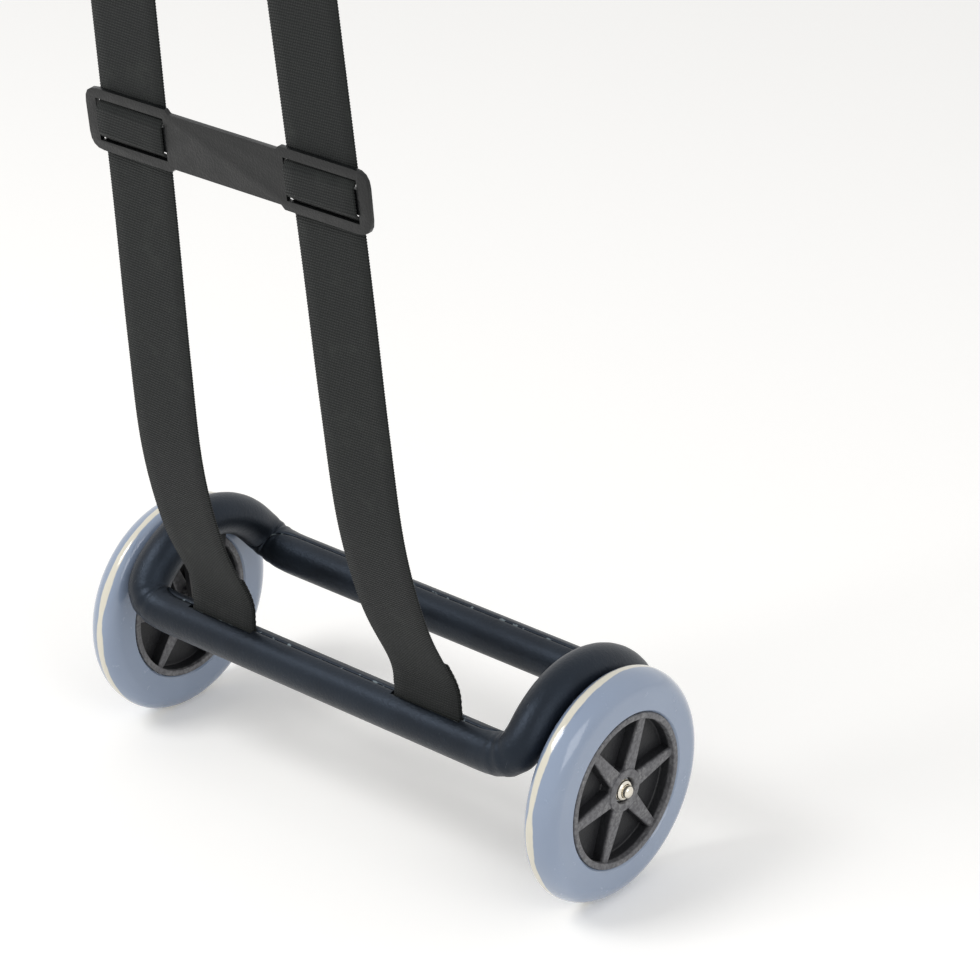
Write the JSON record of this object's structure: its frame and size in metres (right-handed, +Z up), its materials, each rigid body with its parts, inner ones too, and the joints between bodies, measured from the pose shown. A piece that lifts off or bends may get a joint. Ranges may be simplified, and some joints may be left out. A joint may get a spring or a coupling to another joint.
{
  "type": "double bass trolley",
  "caption": "Foam-covered tube cradle on two wheels sharing one axle, with an elastic strap harness and a keeper plate, worn by a double bass on its side to roll it about.",
  "frame": {"origin": "on the floor, under the middle of the axle", "axes": "+X along the axle towards the right-hand wheel, +Y away from the strapped side, +Z up"},
  "size_m": [0.396, 0.3202, 1.1285],
  "materials": {
    "steel": "satin",
    "bright_nickel": "bright",
    "black_foam": "matte closed-cell foam",
    "grey_polyurethane": "semi-gloss polyurethane",
    "dark_plastic": "fine-textured moulding",
    "white_nylon": "satin",
    "elastic_webbing": "fine-ribbed elastic webbing",
    "black_leather": "smooth leather with polished edges",
    "black_paint": "semi-gloss paint"
  },
  "bodies": {
    "frame": {"frame_tube": "steel", "tube_ferrule": "steel", "foam_sleeve": "black_foam", "axle_plate_left": "black_paint", "axle_plate_right": "black_paint", "axle_rod": "steel", "spacer_tube_left": "dark_plastic", "spacer_tube_right": "dark_plastic", "washer_inner_left": "steel", "washer_inner_right": "steel", "washer_outer_left": "steel", "washer_outer_right": "steel", "push_nut_left": "bright_nickel", "push_nut_right": "bright_nickel", "elastic_strap": "elastic_webbing", "strap_keeper": "black_leather"},
    "wheel_left": {"tyre_left": "grey_polyurethane", "hub_left": "dark_plastic", "bush_inner_left": "white_nylon", "bush_outer_left": "white_nylon"},
    "wheel_right": {"tyre_right": "grey_polyurethane", "hub_right": "dark_plastic", "bush_inner_right": "white_nylon", "bush_outer_right": "white_nylon"}
  },
  "joints": [
    {"name": "left_wheel_turn", "type": "hinge", "parent": "frame", "child": "wheel_left", "pos_m": [-0.1805, 0, 0.075], "axis": [1, 0, 0], "continuous": true},
    {"name": "right_wheel_turn", "type": "hinge", "parent": "frame", "child": "wheel_right", "pos_m": [0.1805, 0, 0.075], "axis": [1, 0, 0], "continuous": true}
  ]
}
